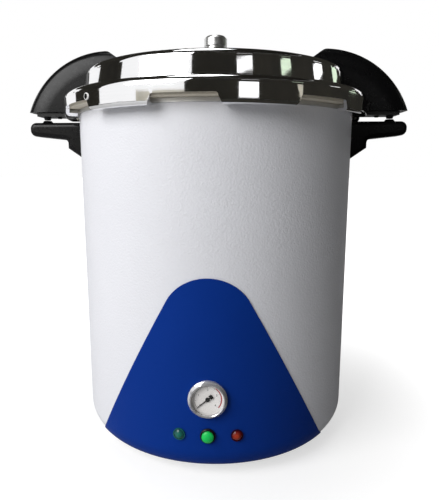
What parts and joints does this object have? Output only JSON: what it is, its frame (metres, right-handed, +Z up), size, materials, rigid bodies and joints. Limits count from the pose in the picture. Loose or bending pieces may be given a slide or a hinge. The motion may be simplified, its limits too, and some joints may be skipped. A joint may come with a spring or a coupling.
{
  "type": "vertical autoclave",
  "caption": "Upright steam autoclave: a round jacketed pressure pot on feet with a bayonet lid, a vent weight, paired handles and a blue panel with gauge, button and lamps.",
  "frame": {"origin": "centre of the object on the surface that its feet rest on", "axes": "+Z up along the vessel's axis, +Y to the back, -Y through the gauge at the front, +X to the right-hand handle seen from the front"},
  "size_m": [0.4944, 0.3852, 0.5129],
  "materials": {
    "foot_rubber": "matt moulded rubber",
    "jacket_paint": "white hammered powder coat on steel sheet",
    "base_steel": "zinc-plated steel sheet",
    "fastener_steel": "zinc-plated steel",
    "pot_aluminium": "satin drawn aluminium",
    "insulation_wool": "pressed mineral wool",
    "heater_steel": "dull heater sheath",
    "thermostat_body": "dark moulded phenolic",
    "terminal_plastic": "cream moulded plastic",
    "panel_paint": "satin blue paint on steel sheet",
    "gauge_chrome": "bright chrome",
    "gauge_steel": "plated steel cup",
    "gauge_glass": "clear flat glass",
    "dial_card": "off-white printed metal",
    "needle_paint": "black paint",
    "brass": "machined brass",
    "switch_plastic": "black moulded plastic",
    "button_green": "bright green moulded plastic",
    "lens_green": "dull green transparent plastic",
    "lens_red": "dark red transparent plastic",
    "gland_nylon": "black nylon",
    "handle_phenolic": "black phenolic with a soft shine",
    "rack_aluminium": "satin aluminium",
    "basket_steel": "polished stainless steel",
    "wire_plastic": "silicone wire covering",
    "lid_aluminium": "mirror polish",
    "eyelet_white": "white plastic ring",
    "gasket_silicone": "pale silicone rubber",
    "strap_enamel": "black enamelled steel",
    "weight_steel": "satin machined metal",
    "spring_steel": "bright spring wire"
  },
  "bodies": {
    "vessel": {"base_plate": "base_steel", "base_screws": "fastener_steel", "body_handle_bolts": "fastener_steel", "body_handle_left": "handle_phenolic", "body_handle_right": "handle_phenolic", "body_handle_saddles": "base_steel", "cable_gland": "gland_nylon", "cable_gland_nut": "gland_nylon", "control_panel": "panel_paint", "control_thermostat": "thermostat_body", "foot_front_left": "foot_rubber", "foot_rear": "foot_rubber", "foot_right": "foot_rubber", "foot_screws": "fastener_steel", "gauge_bezel": "gauge_chrome", "gauge_case": "gauge_steel", "gauge_connector": "brass", "gauge_dial": "dial_card", "gauge_glass": "gauge_glass", "gauge_movement": "brass", "gauge_pipe": "brass", "heater_clamp_plate": "base_steel", "heater_nut": "fastener_steel", "heater_stud": "fastener_steel", "heating_element": "heater_steel", "insulation_sleeve": "insulation_wool", "jacket": "jacket_paint", "jacket_base": "jacket_paint", "lamp_bodies": "switch_plastic", "lamp_lens_left": "lens_green", "lamp_lens_right": "lens_red", "lamp_nuts": "fastener_steel", "lamp_rims": "switch_plastic", "pot": "pot_aluminium", "switch_bezel": "switch_plastic", "switch_body": "switch_plastic", "switch_nut": "fastener_steel", "terminal_block": "terminal_plastic", "thermal_cutout": "thermostat_body", "wiring": "wire_plastic"},
    "lid_seal": {"lid_gasket": "gasket_silicone"},
    "lid": {"lid_shell": "lid_aluminium", "skirt_eyelet": "eyelet_white", "lid_handle_left": "handle_phenolic", "lid_handle_right": "handle_phenolic", "lid_handle_straps": "strap_enamel", "lid_handle_screws": "strap_enamel", "vent_stem": "brass", "vent_nut": "brass", "safety_valve_body": "brass", "safety_valve_cap": "brass", "safety_valve_spring": "spring_steel"},
    "vent_weight": {"vent_weight": "weight_steel"},
    "safety_stem": {"safety_valve_stem": "brass"},
    "push_button": {"push_button": "button_green"},
    "gauge_needle": {"gauge_needle": "needle_paint"},
    "rack": {"load_rack": "rack_aluminium"},
    "basket": {"basket": "basket_steel", "basket_rim": "basket_steel"}
  },
  "joints": [
    {"name": "lid_lift", "type": "slide", "parent": "vessel", "child": "lid_seal", "axis": [0, 0, 1], "range_m": [0, 0.0003]},
    {"name": "lid_turn", "type": "hinge", "parent": "lid_seal", "child": "lid", "pos_m": [0, 0, 0.4058], "axis": [0, 0, 1], "range_deg": [0, 22.5]},
    {"name": "vent_weight_lift", "type": "slide", "parent": "lid", "child": "vent_weight", "axis": [0, 0, 1], "range_m": [0, 0.016]},
    {"name": "safety_stem_lift", "type": "slide", "parent": "lid", "child": "safety_stem", "axis": [0, 0, 1], "range_m": [0, 0.003], "stiffness_N_per_m": 900, "springref_m": -0.001, "deforming": ["safety_valve_spring"]},
    {"name": "push_button_press", "type": "slide", "parent": "vessel", "child": "push_button", "axis": [0, 1, 0], "range_m": [0, 0.003], "stiffness_N_per_m": 400, "springref_m": -0.001},
    {"name": "gauge_needle_turn", "type": "hinge", "parent": "vessel", "child": "gauge_needle", "pos_m": [0, -0.1762, 0.1], "axis": [0, 1, 0], "range_deg": [0, 260], "stiffness_Nm_per_rad": 0.0005, "springref_deg": -11.46},
    {"name": "rack_lift", "type": "slide", "parent": "vessel", "child": "rack", "axis": [0, 0, 1], "range_m": [0, 0.015]},
    {"name": "basket_lift", "type": "slide", "parent": "rack", "child": "basket", "axis": [0, 0, 1], "range_m": [0, 0.02]}
  ]
}
